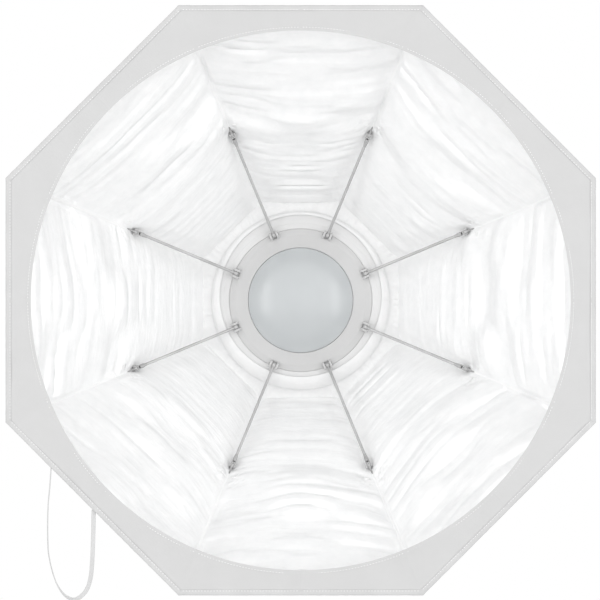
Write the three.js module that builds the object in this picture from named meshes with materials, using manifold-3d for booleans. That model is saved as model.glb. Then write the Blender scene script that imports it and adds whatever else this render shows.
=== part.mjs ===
// An octagonal umbrella-type softbox, 650 mm across its flats, as a jointed assembly.
//
// Millimetres, +Z up. The box's axis lies along Y: the front opening faces -Y and the
// lamp mount faces +Y. The origin is the centre of the flat rear seat that meets the lamp.
// "Depth" in this file is the distance in front of that seat, so y = -depth.
//
// Eight bowed ribs hinge on a wire ring in the hub. A sliding collar pushes eight struts
// against them. Each gore of fabric is cut where it creases as the box folds: a centre
// panel hinged on the hub, and two flaps hinged on the chords of the ribs beside it.

import * as THREE from 'three';
import { mergeVertices } from 'three/addons/utils/BufferGeometryUtils.js';
import Module from 'manifold-3d';

const wasm = await Module();
wasm.setup();

// ---------------------------------------------------------------- driving dimensions

const SIDES = 8;
const STEP = (2 * Math.PI) / SIDES;
const HALF_STEP = STEP / 2;
const APOTHEM = 325;
const FRONT_DEPTH = 285;
const LIP_OPENING_R = 299;

const HINGE_R = 107;
const HINGE_DEPTH = 20;
const WIRE_R = 1.2;
const WIRE_CLEARANCE = 0.5;

const RIB_R = 2;
const RIB_BOW = 14;
const RIB_STANDOFF = 4.4;
const RIB_TIP_R = 3;
const RIB_TIP_LENGTH = 16;
const RIB_TIP_INSET = 10;
const RIB_EYE_R = 4.2;
const RIB_TAB_R = 3.6;
const RIB_TAB_FOOT_HALF_WIDTH = 6;
const RIB_TAB_HALF_THICKNESS = 1.1;

const STRUT_STATION = 142;
const STRUT_INSET = 10;
const STRUT_R = 1.7;
const STRUT_INNER_R = 84;
const STRUT_INNER_DEPTH = 50;
const STRUT_EYE_R = 3.2;
const STRUT_PIN_HOLE_R = 1.3;
const FORK_R = 3;
const FORK_LENGTH = 13;
const FORK_ROOT_HALF_WIDTH = 1.6;
const FORK_HALF_THICKNESS = 2.6;
const FORK_SLOT_HALF_WIDTH = 1.4;
const RIVET_R = 1.2;
const RIVET_HOLE_R = 1.5;
const RIVET_HEAD_R = 2;
const RIVET_HEAD_HALF_THICKNESS = 0.4;
const RIVET_HEAD_GAP = 0.3;

const FABRIC_THICKNESS = 1;
const FABRIC_GAP = 0.25;
const LIP_THICKNESS = 1.4;
const LIP_OVERHANG = 0.6;

const HUB_DEPTH = 38;
const HUB_FLANGE_R = 116;
const HUB_FLANGE_DEPTH = 8;
const HUB_WALL_OUTER_R = 97.6;
const HUB_WALL_INNER_R = 87;
const HUB_FLOOR_INNER_R = 61;
const HUB_FLOOR_FRONT_DEPTH = 10;
const HUB_RIM_DEPTH = 13;
const HUB_RIM_WALL = 2.4;
const HUB_EDGE_CHAMFER = 2;
const CHEEK_R = 4.6;
const CHEEK_FOOT_HALF_WIDTH = 6;
const CHEEK_INNER_T = 3.2;
const CHEEK_OUTER_T = 8;

const BEZEL_OUTER_R = 104;
const BEZEL_INNER_R = 85.6;
const BEZEL_DEPTH = 44;
const BEZEL_CHAMFER = 1.5;
const BEZEL_STEP_R = 92.5;
const BEZEL_STEP = 0.8;

const COLLAR_OUTER_R = 84.4;
const COLLAR_INNER_R = 63.8;
const COLLAR_REAR_DEPTH = 12;
const COLLAR_FRONT_DEPTH = 46;
const COLLAR_FLAT_R = 78;
const COLLAR_BEVEL = 4;

const DOME_R = 62;
const DOME_BASE_DEPTH = 39;
const DOME_APEX_DEPTH = 57;
const DOME_WALL = 2.5;
const DOME_FLANGE_R = 62.6;
const DOME_FLANGE_DEPTH = 29;
const DOME_FLANGE_THICKNESS = 2.6;

const INSERT_BORE_R = 46;
const INSERT_PLATE_R = 78;
const INSERT_PLATE_DEPTH = 4;
const INSERT_SPIGOT_R = 49;
const INSERT_SPIGOT_LENGTH = 13;
const LUG_R = 54;
const LUG_NEAR = 8.5;
const LUG_FAR = 12;
const LUG_ANGLE = 0.7;

// The release buttons, in pockets of the hub's flange.
const BUTTON_HALF_WIDTH = 9;
const BUTTON_INNER_R = 103;
const BUTTON_OUTER_R = 123;
const BUTTON_REAR_DEPTH = 0.8;
const BUTTON_FRONT_DEPTH = 6.2;
const BUTTON_TRAVEL = 4;

// Three screws hold the insert. Their angles are round the box's axis.
const SCREW_CIRCLE_R = 70;
const SCREW_ANGLES = [0, 1, 2].map((k) => Math.PI / 2 + (k * 2 * Math.PI) / 3);
const SCREW_SHANK_R = 1.9;
const SCREW_HEAD_R = 4;
const SCREW_HEAD_DEPTH = 1.6;
const SCREW_LENGTH = 9;

// Each strut's inner eye sits between two ears of the collar, "T" being measured across.
const EAR_R = 4.2;
const EAR_FOOT_HALF_WIDTH = 3.4;
const EAR_INNER_T = 2.7;
const EAR_OUTER_T = 5.3;
const NOTCH_FLOOR_R = 74;

// The flaps of fabric start clear of the hub and leave a slot for each rib's tab.
const PANEL_HUB_HALF_WIDTH = 24;
const FLAP_START = 22;
const SLOT_HALF_LENGTH = 9;
const SLOT_HALF_WIDTH = 5;
const CREASE_FAN = 0.996;
const FLAP_FANS = [0, 0.35, CREASE_FAN];

// The carry loop's line, as [x, z].
const STRAP_R = 1.3;
const STRAP_DEPTH = 282;
const STRAP_ROUTE = [
  [-277, -191], [-278, -206], [-280, -228], [-280.5, -251], [-280, -275], [-278, -289],
  [-274.5, -303], [-269.5, -316], [-262.5, -326], [-254.5, -331], [-247, -330.5],
  [-238, -322], [-233, -308], [-231, -287], [-230, -260], [-229.6, -238],
];

const TOUCH_GAP = 0.3;
const ROUND = 36;

// ------------------------------------------------------------- derived mechanism points
// Points in a rib's own plane are Vector2(radius, depth).

const VERTEX_R = APOTHEM / Math.cos(HALF_STEP);
const HINGE = new THREE.Vector2(HINGE_R, HINGE_DEPTH);
const CORNER = new THREE.Vector2(VERTEX_R, FRONT_DEPTH);
const CHORD = CORNER.clone().sub(HINGE);
const CHORD_LENGTH = CHORD.length();
const ALONG = CHORD.clone().normalize();
const OUTWARD = new THREE.Vector2(ALONG.y, -ALONG.x);

function bowAt(station) {
  const part = station / CHORD_LENGTH;
  return 4 * RIB_BOW * part * (1 - part);
}

function ribPoint(station, offset) {
  return HINGE.clone().addScaledVector(ALONG, station).addScaledVector(OUTWARD, offset);
}

const STRUT_OUTER = ribPoint(
  STRUT_STATION, bowAt(STRUT_STATION) + RIB_STANDOFF - STRUT_INSET,
);
const STRUT_INNER = new THREE.Vector2(STRUT_INNER_R, STRUT_INNER_DEPTH);

// ----------------------------------------------------------------------------- colours

const FABRIC_GREY = { color: 0xe0e0e0, roughness: 0.9, metalness: 0 };
const SILVER = { color: 0xf2f2f4, roughness: 0.4, metalness: 0.6 };
const HUB_PLASTIC = { color: 0xdcdcdc, roughness: 0.55, metalness: 0 };
const COLLAR_PLASTIC = { color: 0xcfcfd1, roughness: 0.35, metalness: 0 };
const STEEL = { color: 0xb4b4b6, roughness: 0.35, metalness: 0.9 };
const ALUMINIUM = { color: 0xc8c9cb, roughness: 0.4, metalness: 0.9 };
const DOME_GLASS = { color: 0xcdd2d4, roughness: 0.15, metalness: 0 };

// ------------------------------------------------------------------------ mesh helpers

// Flips a triangle list whose enclosed volume is negative, and drops collapsed triangles.
function outwardTriangles(points, index) {
  const corner = (k) => new THREE.Vector3().fromArray(points, 3 * k);
  const kept = [];
  let volume = 0;
  for (let k = 0; k < index.length; k += 3) {
    const [a, b, c] = [index[k], index[k + 1], index[k + 2]];
    if (a === b || b === c || c === a) {
      continue;
    }
    kept.push([a, b, c]);
    volume += corner(a).dot(corner(b).cross(corner(c)));
  }
  return kept.flatMap(([a, b, c]) => (volume < 0 ? [a, c, b] : [a, b, c]));
}

function toSolid(geometry) {
  const plain = geometry.clone();
  plain.deleteAttribute('normal');
  plain.deleteAttribute('uv');
  const welded = mergeVertices(plain, 1e-4);
  const points = Float32Array.from(welded.attributes.position.array);
  const triVerts = Uint32Array.from(outwardTriangles(points, welded.index.array));
  return new wasm.Manifold(new wasm.Mesh({ numProp: 3, vertProperties: points, triVerts }));
}

function toGeometry(solid) {
  const mesh = solid.getMesh();
  const geometry = new THREE.BufferGeometry();
  geometry.setAttribute('position', new THREE.BufferAttribute(mesh.vertProperties, 3));
  geometry.setIndex(new THREE.BufferAttribute(mesh.triVerts, 1));
  geometry.computeVertexNormals();
  return geometry;
}

function united(solids) {
  return solids.reduce((whole, piece) => whole.add(piece));
}

function cutBy(solid, cutters) {
  return cutters.reduce((left, cutter) => left.subtract(cutter), solid);
}

// A ring or disc turned about the box's axis from a closed outline of [radius, depth].
function turned(outline, segments = ROUND) {
  const points = outline.map(([radius, depth]) => new THREE.Vector2(radius, -depth));
  points.push(points[0].clone());
  return toSolid(new THREE.LatheGeometry(points, segments));
}

// A block in a spoke's frame: X outward, Y to the rear, Z round the hub.
function block(radii, depths, widths) {
  const size = [radii, depths, widths].map(([low, high]) => high - low);
  const geometry = new THREE.BoxGeometry(...size);
  geometry.translate(
    (radii[0] + radii[1]) / 2, -(depths[0] + depths[1]) / 2, (widths[0] + widths[1]) / 2,
  );
  return geometry;
}

// A round bar lying across a spoke, its axis along the spoke frame's Z.
function crossBar(centre, radius, halfLength, segments) {
  const geometry = new THREE.CylinderGeometry(radius, radius, 2 * halfLength, segments);
  geometry.rotateX(Math.PI / 2);
  geometry.translate(centre.x, -centre.y, 0);
  return geometry;
}

// A round bar between two points of a spoke's plane.
function rod(from, to, radius, segments) {
  const start = new THREE.Vector3(from.x, -from.y, 0);
  const end = new THREE.Vector3(to.x, -to.y, 0);
  const way = end.clone().sub(start);
  const geometry = new THREE.CylinderGeometry(radius, radius, way.length(), segments);
  const turn = new THREE.Quaternion().setFromUnitVectors(
    new THREE.Vector3(0, 1, 0), way.clone().normalize(),
  );
  geometry.applyQuaternion(turn);
  geometry.translate(...start.add(end).multiplyScalar(0.5).toArray());
  return geometry;
}

// A flat plate in a spoke's plane, from an outline of Vector2(radius, depth).
function plate(outline, fromT, toT) {
  const shape = new THREE.Shape(outline.map((p) => new THREE.Vector2(p.x, -p.y)));
  const geometry = new THREE.ExtrudeGeometry(shape, { depth: toT - fromT, bevelEnabled: false });
  geometry.translate(0, 0, fromT);
  return geometry;
}

// A plate shaped like a drop: round about one point, and as wide as `tail` at the other.
function dropOutline(round, radius, tip, tail, arcSteps = 4) {
  const way = tip.clone().sub(round).normalize();
  const side = new THREE.Vector2(-way.y, way.x);
  const outline = [tip.clone().addScaledVector(side, -tail), tip.clone().addScaledVector(side, tail)];
  for (let k = 0; k <= arcSteps; k += 1) {
    const angle = Math.PI / 2 + (Math.PI * k) / arcSteps;
    outline.push(round.clone()
      .addScaledVector(way, radius * Math.cos(angle))
      .addScaledVector(side, radius * Math.sin(angle)));
  }
  return outline;
}

function spokeAngle(k) {
  return HALF_STEP + k * STEP;
}

// Turns a piece made on the spoke at angle 0 round the box's axis to another angle.
function turnedTo(geometry, angle) {
  return geometry.clone().rotateY(-angle);
}

// A solid sheet over a grid of points: `front` holds rows of Vector3, and `back` the same
// rows on the other face.
function sheetGeometry(front, back) {
  const rows = front.length;
  const columns = front[0].length;
  const points = [...front, ...back].flat();
  const at = (layer, row, column) => (layer * rows + row) * columns + column;
  const index = [];
  const quad = (a, b, c, d) => index.push(a, b, c, a, c, d);
  for (let r = 0; r + 1 < rows; r += 1) {
    for (let c = 0; c + 1 < columns; c += 1) {
      quad(at(0, r, c), at(0, r, c + 1), at(0, r + 1, c + 1), at(0, r + 1, c));
      quad(at(1, r, c), at(1, r + 1, c), at(1, r + 1, c + 1), at(1, r, c + 1));
    }
    quad(at(0, r, 0), at(0, r + 1, 0), at(1, r + 1, 0), at(1, r, 0));
    const last = columns - 1;
    quad(at(0, r, last), at(1, r, last), at(1, r + 1, last), at(0, r + 1, last));
  }
  for (let c = 0; c + 1 < columns; c += 1) {
    const last = rows - 1;
    quad(at(0, 0, c), at(1, 0, c), at(1, 0, c + 1), at(0, 0, c + 1));
    quad(at(0, last, c), at(0, last, c + 1), at(1, last, c + 1), at(1, last, c));
  }
  const geometry = new THREE.BufferGeometry().setFromPoints(points);
  geometry.setIndex(index);
  return geometry;
}

// --------------------------------------------------------------------------------- hub

function hingeWire(radius) {
  const outline = [];
  const sides = 6;
  for (let k = 0; k < sides; k += 1) {
    const angle = (2 * Math.PI * k) / sides;
    outline.push([HINGE_R + radius * Math.cos(angle), HINGE_DEPTH + radius * Math.sin(angle)]);
  }
  return turned(outline);
}

// A pair of cheeks stands on the flange at each rib, with the rib's eye between them.
function hingeCheeks() {
  const top = new THREE.Vector2(HINGE_R, HINGE_DEPTH);
  const foot = new THREE.Vector2(HINGE_R, HUB_FLANGE_DEPTH - 1);
  const outline = dropOutline(top, CHEEK_R, foot, CHEEK_FOOT_HALF_WIDTH);
  return [
    plate(outline, CHEEK_INNER_T, CHEEK_OUTER_T),
    plate(outline, -CHEEK_OUTER_T, -CHEEK_INNER_T),
  ];
}

function buttonPocket() {
  const slack = 0.5;
  return block(
    [BUTTON_INNER_R - BUTTON_TRAVEL - slack, BUTTON_OUTER_R],
    [-1, BUTTON_FRONT_DEPTH + slack],
    [-BUTTON_HALF_WIDTH - slack, BUTTON_HALF_WIDTH + slack],
  );
}

function screwBar(angle, radius, fromDepth, toDepth) {
  const geometry = new THREE.CylinderGeometry(radius, radius, toDepth - fromDepth, 10);
  geometry.translate(
    SCREW_CIRCLE_R * Math.cos(angle),
    -(fromDepth + toDepth) / 2,
    SCREW_CIRCLE_R * Math.sin(angle),
  );
  return toSolid(geometry);
}

function hubHousing() {
  const recess = INSERT_PLATE_DEPTH + TOUCH_GAP;
  const shell = turned([
    [HUB_FLOOR_INNER_R, recess],
    [INSERT_PLATE_R + TOUCH_GAP, recess],
    [INSERT_PLATE_R + TOUCH_GAP, 0],
    [HUB_FLANGE_R - HUB_EDGE_CHAMFER, 0],
    [HUB_FLANGE_R, HUB_EDGE_CHAMFER],
    [HUB_FLANGE_R, HUB_RIM_DEPTH],
    [HUB_FLANGE_R - HUB_RIM_WALL, HUB_RIM_DEPTH],
    [HUB_FLANGE_R - HUB_RIM_WALL, HUB_FLANGE_DEPTH],
    [HUB_WALL_OUTER_R, HUB_FLANGE_DEPTH],
    [HUB_WALL_OUTER_R, HUB_DEPTH],
    [HUB_WALL_INNER_R, HUB_DEPTH],
    [HUB_WALL_INNER_R, HUB_FLOOR_FRONT_DEPTH],
    [HUB_FLOOR_INNER_R, HUB_FLOOR_FRONT_DEPTH],
  ]);
  const angles = Array.from({ length: SIDES }, (_, k) => spokeAngle(k));
  const cheeks = angles.flatMap(
    (angle) => hingeCheeks().map((cheek) => toSolid(turnedTo(cheek, angle))),
  );
  const ribNotch = block(
    [HUB_FLANGE_R - 4, HUB_FLANGE_R + 2],
    [HUB_RIM_DEPTH - 3.5, HUB_RIM_DEPTH + 1],
    [-CHEEK_INNER_T, CHEEK_INNER_T],
  );
  return cutBy(united([shell, ...cheeks]), [
    ...angles.map((angle) => toSolid(turnedTo(ribNotch, angle))),
    hingeWire(WIRE_R + WIRE_CLEARANCE),
    toSolid(buttonPocket()),
    toSolid(turnedTo(buttonPocket(), Math.PI)),
    ...SCREW_ANGLES.map((angle) => (
      screwBar(angle, SCREW_SHANK_R + TOUCH_GAP, 0, SCREW_LENGTH + 0.6)
    )),
  ]);
}

// The pale ring round the hub's mouth, with a shallow step in its face.
function frontBezel() {
  const rear = HUB_DEPTH + TOUCH_GAP;
  return turned([
    [BEZEL_INNER_R, rear],
    [BEZEL_OUTER_R, rear],
    [BEZEL_OUTER_R, BEZEL_DEPTH - BEZEL_CHAMFER],
    [BEZEL_OUTER_R - BEZEL_CHAMFER, BEZEL_DEPTH],
    [BEZEL_STEP_R, BEZEL_DEPTH],
    [BEZEL_STEP_R - BEZEL_STEP, BEZEL_DEPTH - BEZEL_STEP],
    [BEZEL_INNER_R + 1, BEZEL_DEPTH - BEZEL_STEP],
    [BEZEL_INNER_R, BEZEL_DEPTH - BEZEL_STEP - 1],
  ]);
}

// The bayonet insert: a plate screwed into the hub, with three lugs on a short spigot.
function mountInsert() {
  const plateAndSpigot = turned([
    [INSERT_BORE_R, INSERT_PLATE_DEPTH],
    [INSERT_BORE_R, -INSERT_SPIGOT_LENGTH],
    [INSERT_SPIGOT_R, -INSERT_SPIGOT_LENGTH],
    [INSERT_SPIGOT_R, 0],
    [INSERT_PLATE_R, 0],
    [INSERT_PLATE_R, INSERT_PLATE_DEPTH],
  ]);
  const lugs = SCREW_ANGLES.map((angle) => {
    const shape = new THREE.Shape();
    shape.absarc(0, 0, LUG_R, -LUG_ANGLE / 2, LUG_ANGLE / 2, false);
    shape.absarc(0, 0, INSERT_SPIGOT_R - 1, LUG_ANGLE / 2, -LUG_ANGLE / 2, true);
    const geometry = new THREE.ExtrudeGeometry(shape, {
      depth: LUG_FAR - LUG_NEAR, bevelEnabled: false, curveSegments: 5,
    });
    geometry.rotateX(-Math.PI / 2);
    geometry.translate(0, LUG_NEAR, 0);
    return toSolid(turnedTo(geometry, angle));
  });
  return cutBy(united([plateAndSpigot, ...lugs]), SCREW_ANGLES.flatMap((angle) => [
    screwBar(angle, SCREW_SHANK_R + TOUCH_GAP, -1, INSERT_PLATE_DEPTH + 1),
    screwBar(angle, SCREW_HEAD_R + TOUCH_GAP, -1, SCREW_HEAD_DEPTH + TOUCH_GAP),
  ]));
}

function insertScrew(angle) {
  return screwBar(angle, SCREW_SHANK_R, SCREW_HEAD_DEPTH - 0.2, SCREW_LENGTH)
    .add(screwBar(angle, SCREW_HEAD_R, 0.1, SCREW_HEAD_DEPTH));
}

// A push tab that slides in towards the axis to let the collar go.
function releaseButton() {
  const body = toSolid(block(
    [BUTTON_INNER_R, BUTTON_OUTER_R],
    [BUTTON_REAR_DEPTH, BUTTON_FRONT_DEPTH],
    [-BUTTON_HALF_WIDTH, BUTTON_HALF_WIDTH],
  ));
  const grooves = [-6, -2, 2, 6].map((centre) => toSolid(block(
    [BUTTON_OUTER_R - 1, BUTTON_OUTER_R + 1],
    [BUTTON_REAR_DEPTH - 1, BUTTON_FRONT_DEPTH + 1],
    [centre - 0.8, centre + 0.8],
  )));
  return cutBy(body, grooves);
}

// -------------------------------------------------------------------- collar and dome

// The collar slides in the hub's mouth. Each strut's inner eye sits between two ears, over
// a notch in the rim that lets the strut swing through as the collar comes forward.
function collar() {
  const ring = turned([
    [COLLAR_INNER_R, COLLAR_REAR_DEPTH],
    [COLLAR_OUTER_R, COLLAR_REAR_DEPTH],
    [COLLAR_OUTER_R, COLLAR_FRONT_DEPTH - 1],
    [COLLAR_OUTER_R - 1, COLLAR_FRONT_DEPTH],
    [COLLAR_FLAT_R, COLLAR_FRONT_DEPTH],
    [COLLAR_INNER_R + 2, COLLAR_FRONT_DEPTH - COLLAR_BEVEL],
    [COLLAR_INNER_R, COLLAR_FRONT_DEPTH - COLLAR_BEVEL - 2],
  ]);
  const earFoot = new THREE.Vector2(STRUT_INNER_R - 3, COLLAR_FRONT_DEPTH - 3);
  const ear = dropOutline(STRUT_INNER, EAR_R, earFoot, EAR_FOOT_HALF_WIDTH);
  const ears = [];
  const notches = [];
  for (let k = 0; k < SIDES; k += 1) {
    const angle = spokeAngle(k);
    ears.push(toSolid(turnedTo(plate(ear, EAR_INNER_T, EAR_OUTER_T), angle)));
    ears.push(toSolid(turnedTo(plate(ear, -EAR_OUTER_T, -EAR_INNER_T), angle)));
    notches.push(toSolid(turnedTo(block(
      [NOTCH_FLOOR_R, COLLAR_OUTER_R + 3],
      [COLLAR_REAR_DEPTH - 1, COLLAR_FRONT_DEPTH + 1],
      [-EAR_INNER_T, EAR_INNER_T],
    ), angle)));
  }
  return united([cutBy(ring, notches), ...ears]);
}

// A shallow dome over the lamp, thin-walled and open at the rear, with a seating flange.
function protectiveDome() {
  const rise = DOME_APEX_DEPTH - DOME_BASE_DEPTH;
  const sphereR = (DOME_R * DOME_R + rise * rise) / (2 * rise);
  const centreDepth = DOME_APEX_DEPTH - sphereR;
  const openAngle = Math.asin(DOME_R / sphereR);
  const steps = 4;
  const arc = (radius, fromAngle, toAngle) => Array.from({ length: steps + 1 }, (_, k) => {
    const angle = fromAngle + ((toAngle - fromAngle) * k) / steps;
    return [radius * Math.sin(angle), centreDepth + radius * Math.cos(angle)];
  });
  const flangeFront = DOME_FLANGE_DEPTH + DOME_FLANGE_THICKNESS;
  const points = [
    ...arc(sphereR - DOME_WALL, 0, openAngle),
    [DOME_R - DOME_WALL, DOME_FLANGE_DEPTH],
    [DOME_FLANGE_R, DOME_FLANGE_DEPTH],
    [DOME_FLANGE_R, flangeFront],
    [DOME_R, flangeFront + 0.6],
    ...arc(sphereR, openAngle, 0),
  ].map(([radius, depth]) => new THREE.Vector2(Math.max(radius, 0), -depth));
  return toSolid(new THREE.LatheGeometry(points, ROUND));
}

// ---------------------------------------------------------------------- ribs and struts

class RibCurve extends THREE.Curve {
  getPoint(part, target = new THREE.Vector3()) {
    const station = part * (CHORD_LENGTH - RIB_TIP_INSET - 1);
    const lift = RIB_STANDOFF * Math.min(1, station / FLAP_START);
    const point = ribPoint(station, bowAt(station) + lift);
    return target.set(point.x, -point.y, 0);
  }
}

function roundSection(radius, sides) {
  const shape = new THREE.Shape();
  for (let k = 0; k < sides; k += 1) {
    const angle = (2 * Math.PI * k) / sides;
    shape[k ? 'lineTo' : 'moveTo'](radius * Math.cos(angle), radius * Math.sin(angle));
  }
  return shape;
}

// A bowed rod with an eye on the hinge wire, a tab for the strut, and a capped tip.
function rib() {
  const bar = new THREE.ExtrudeGeometry(roundSection(RIB_R, 6), {
    steps: 8, extrudePath: new RibCurve(), bevelEnabled: false,
  });
  const eye = crossBar(HINGE, RIB_EYE_R, CHEEK_INNER_T - TOUCH_GAP, 12);
  const onRib = ribPoint(STRUT_STATION, bowAt(STRUT_STATION) + RIB_STANDOFF);
  const tab = plate(
    dropOutline(STRUT_OUTER, RIB_TAB_R, onRib, RIB_TAB_FOOT_HALF_WIDTH),
    -RIB_TAB_HALF_THICKNESS, RIB_TAB_HALF_THICKNESS,
  );
  const tipEnd = CHORD_LENGTH - RIB_TIP_INSET;
  const tip = rod(
    ribPoint(tipEnd - RIB_TIP_LENGTH, bowAt(tipEnd - RIB_TIP_LENGTH) + RIB_STANDOFF),
    ribPoint(tipEnd, bowAt(tipEnd) + RIB_STANDOFF), RIB_TIP_R, 8,
  );
  return cutBy(united([bar, eye, tab, tip].map(toSolid)), [
    hingeWire(WIRE_R + WIRE_CLEARANCE),
    toSolid(crossBar(STRUT_OUTER, RIVET_HOLE_R, 4, 8)),
  ]);
}

// A straight rod with a flat eye at the collar end and a forked end over the rib's tab.
function strut() {
  const way = STRUT_OUTER.clone().sub(STRUT_INNER).normalize();
  const forkRoot = STRUT_OUTER.clone().addScaledVector(way, -FORK_LENGTH);
  const fork = toSolid(plate(
    dropOutline(STRUT_OUTER, FORK_R, forkRoot, FORK_ROOT_HALF_WIDTH),
    -FORK_HALF_THICKNESS, FORK_HALF_THICKNESS,
  ));
  const slotEnd = STRUT_OUTER.clone().addScaledVector(way, -5.5);
  const slotTip = STRUT_OUTER.clone().addScaledVector(way, 8);
  const slot = toSolid(plate(
    dropOutline(slotEnd, 5, slotTip, 5), -FORK_SLOT_HALF_WIDTH, FORK_SLOT_HALF_WIDTH,
  ));
  const bar = toSolid(rod(STRUT_INNER, forkRoot.clone().addScaledVector(way, 2), STRUT_R, 6));
  const eye = toSolid(crossBar(STRUT_INNER, STRUT_EYE_R, EAR_INNER_T - 0.5, 10));
  return cutBy(united([fork, bar, eye]), [
    slot,
    toSolid(crossBar(STRUT_OUTER, RIVET_HOLE_R, 4, 8)),
    toSolid(crossBar(STRUT_INNER, STRUT_PIN_HOLE_R, 4, 8)),
  ]);
}

function strutRivet() {
  const shank = toSolid(crossBar(STRUT_OUTER, RIVET_R, FORK_HALF_THICKNESS + RIVET_HEAD_GAP + 0.1, 8));
  const heads = [-1, 1].map((side) => {
    const head = crossBar(STRUT_OUTER, RIVET_HEAD_R, RIVET_HEAD_HALF_THICKNESS, 8);
    head.translate(
      0, 0, side * (FORK_HALF_THICKNESS + RIVET_HEAD_GAP + RIVET_HEAD_HALF_THICKNESS),
    );
    return toSolid(head);
  });
  return united([shank, ...heads]);
}

// ------------------------------------------------------------------------------ fabric

const FLAP_STATIONS = [
  FLAP_START, 78,
  STRUT_STATION - SLOT_HALF_LENGTH - 3, STRUT_STATION - SLOT_HALF_LENGTH,
  STRUT_STATION + SLOT_HALF_LENGTH, STRUT_STATION + SLOT_HALF_LENGTH + 3,
  215, 280, 330, CHORD_LENGTH,
];

// The spoke-frame point where a side's middle lies, seen from the rib beside it.
const SIDE_MIDDLE = new THREE.Vector3(
  APOTHEM * Math.cos(HALF_STEP), -FRONT_DEPTH, APOTHEM * Math.sin(HALF_STEP),
);
const HINGE_3D = new THREE.Vector3(HINGE.x, -HINGE.y, 0);
const CORNER_3D = new THREE.Vector3(CORNER.x, -CORNER.y, 0);
const OUTWARD_3D = new THREE.Vector3(OUTWARD.x, -OUTWARD.y, 0);
const GORE_NORMAL = SIDE_MIDDLE.clone().sub(HINGE_3D)
  .cross(CORNER_3D.clone().sub(HINGE_3D)).normalize();

function inSlot(station) {
  return Math.abs(station - STRUT_STATION) <= SLOT_HALF_LENGTH + 0.1;
}

// A flap fans out from the hinge: fan 0 is the rib's chord and fan 1 the crease beside the
// centre panel. The bow of the rib dies away towards the crease.
function flapPoint(station, fan, shift) {
  const rimEnd = CORNER_3D.clone().lerp(SIDE_MIDDLE, fan);
  const point = HINGE_3D.clone().lerp(rimEnd, station / CHORD_LENGTH);
  const bow = bowAt(station) * (1 - fan) ** 2;
  point.addScaledVector(OUTWARD_3D, bow).addScaledVector(GORE_NORMAL, shift);
  const inner = inSlot(station) ? SLOT_HALF_WIDTH : FABRIC_GAP;
  point.z = Math.max(point.z, inner);
  return point;
}

function flapSheet() {
  const layer = (shift) => FLAP_STATIONS.map(
    (station) => FLAP_FANS.map((fan) => flapPoint(station, fan, shift)),
  );
  return sheetGeometry(layer(-FABRIC_THICKNESS / 2), layer(FABRIC_THICKNESS / 2));
}

// Half a side of the flat front lip, between the octagon's edge and the round opening.
function lipHalf() {
  const shape = new THREE.Shape();
  const edge = APOTHEM + LIP_OVERHANG;
  const slack = FABRIC_GAP / LIP_OPENING_R;
  shape.moveTo(edge / Math.cos(HALF_STEP), FABRIC_GAP);
  const middle = HALF_STEP - slack;
  shape.lineTo(edge * Math.cos(middle), edge * Math.sin(middle));
  shape.absarc(0, 0, LIP_OPENING_R, middle, slack, true);
  const geometry = new THREE.ExtrudeGeometry(shape, {
    depth: LIP_THICKNESS, bevelEnabled: false, curveSegments: 4,
  });
  geometry.rotateX(Math.PI / 2);
  geometry.translate(0, -(FRONT_DEPTH - LIP_THICKNESS), 0);
  return geometry;
}

function flap(side) {
  const solid = united([toSolid(flapSheet()), toSolid(lipHalf())]);
  return side > 0 ? solid : solid.mirror([0, 0, 1]);
}

// The flat middle of a gore, on the spoke frame whose X runs to the middle of the side.
function gorePanel() {
  const hubApothem = HINGE_R * Math.cos(HALF_STEP);
  const hubHalfSide = HINGE_R * Math.sin(HALF_STEP);
  const slope = Math.hypot(APOTHEM - hubApothem, FRONT_DEPTH - HINGE_DEPTH);
  const halfWidth = (reach) => hubHalfSide * (1 - reach / slope) - 2 * FABRIC_GAP;
  const cornerReach = 18;
  const apexReach = slope - 20;
  const right = [
    [1.5, PANEL_HUB_HALF_WIDTH],
    [cornerReach, halfWidth(cornerReach)],
    [apexReach, halfWidth(apexReach)],
  ];
  const left = right.map(([reach, width]) => [reach, -width]).reverse();
  const shape = new THREE.Shape(
    [...right, ...left].map(([reach, width]) => new THREE.Vector2(reach, width)),
  );
  const geometry = new THREE.ExtrudeGeometry(shape, {
    depth: FABRIC_THICKNESS, bevelEnabled: false,
  });
  geometry.translate(0, 0, -FABRIC_THICKNESS / 2);
  const along = new THREE.Vector3(
    (APOTHEM - hubApothem) / slope, -(FRONT_DEPTH - HINGE_DEPTH) / slope, 0,
  );
  const across = new THREE.Vector3(0, 0, 1);
  const normal = along.clone().cross(across);
  const place = new THREE.Matrix4().makeBasis(along, across, normal);
  place.setPosition(hubApothem, -HINGE_DEPTH, 0);
  geometry.applyMatrix4(place);
  return toSolid(geometry);
}

// --------------------------------------------------------------------------- carry loop

function strapLoop() {
  const path = new THREE.CatmullRomCurve3(
    STRAP_ROUTE.map(([x, z]) => new THREE.Vector3(x, -STRAP_DEPTH, z)),
  );
  return toSolid(new THREE.ExtrudeGeometry(roundSection(STRAP_R, 8), {
    steps: 30, extrudePath: path, bevelEnabled: false,
  }));
}

// ---------------------------------------------------------------------------- assembly

const octabox = new THREE.Group();

function addMesh(name, solid, finish, angle = 0) {
  const mesh = new THREE.Mesh(toGeometry(solid), new THREE.MeshStandardMaterial(finish));
  mesh.name = name;
  mesh.rotation.y = -angle;
  octabox.add(mesh);
}

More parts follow.
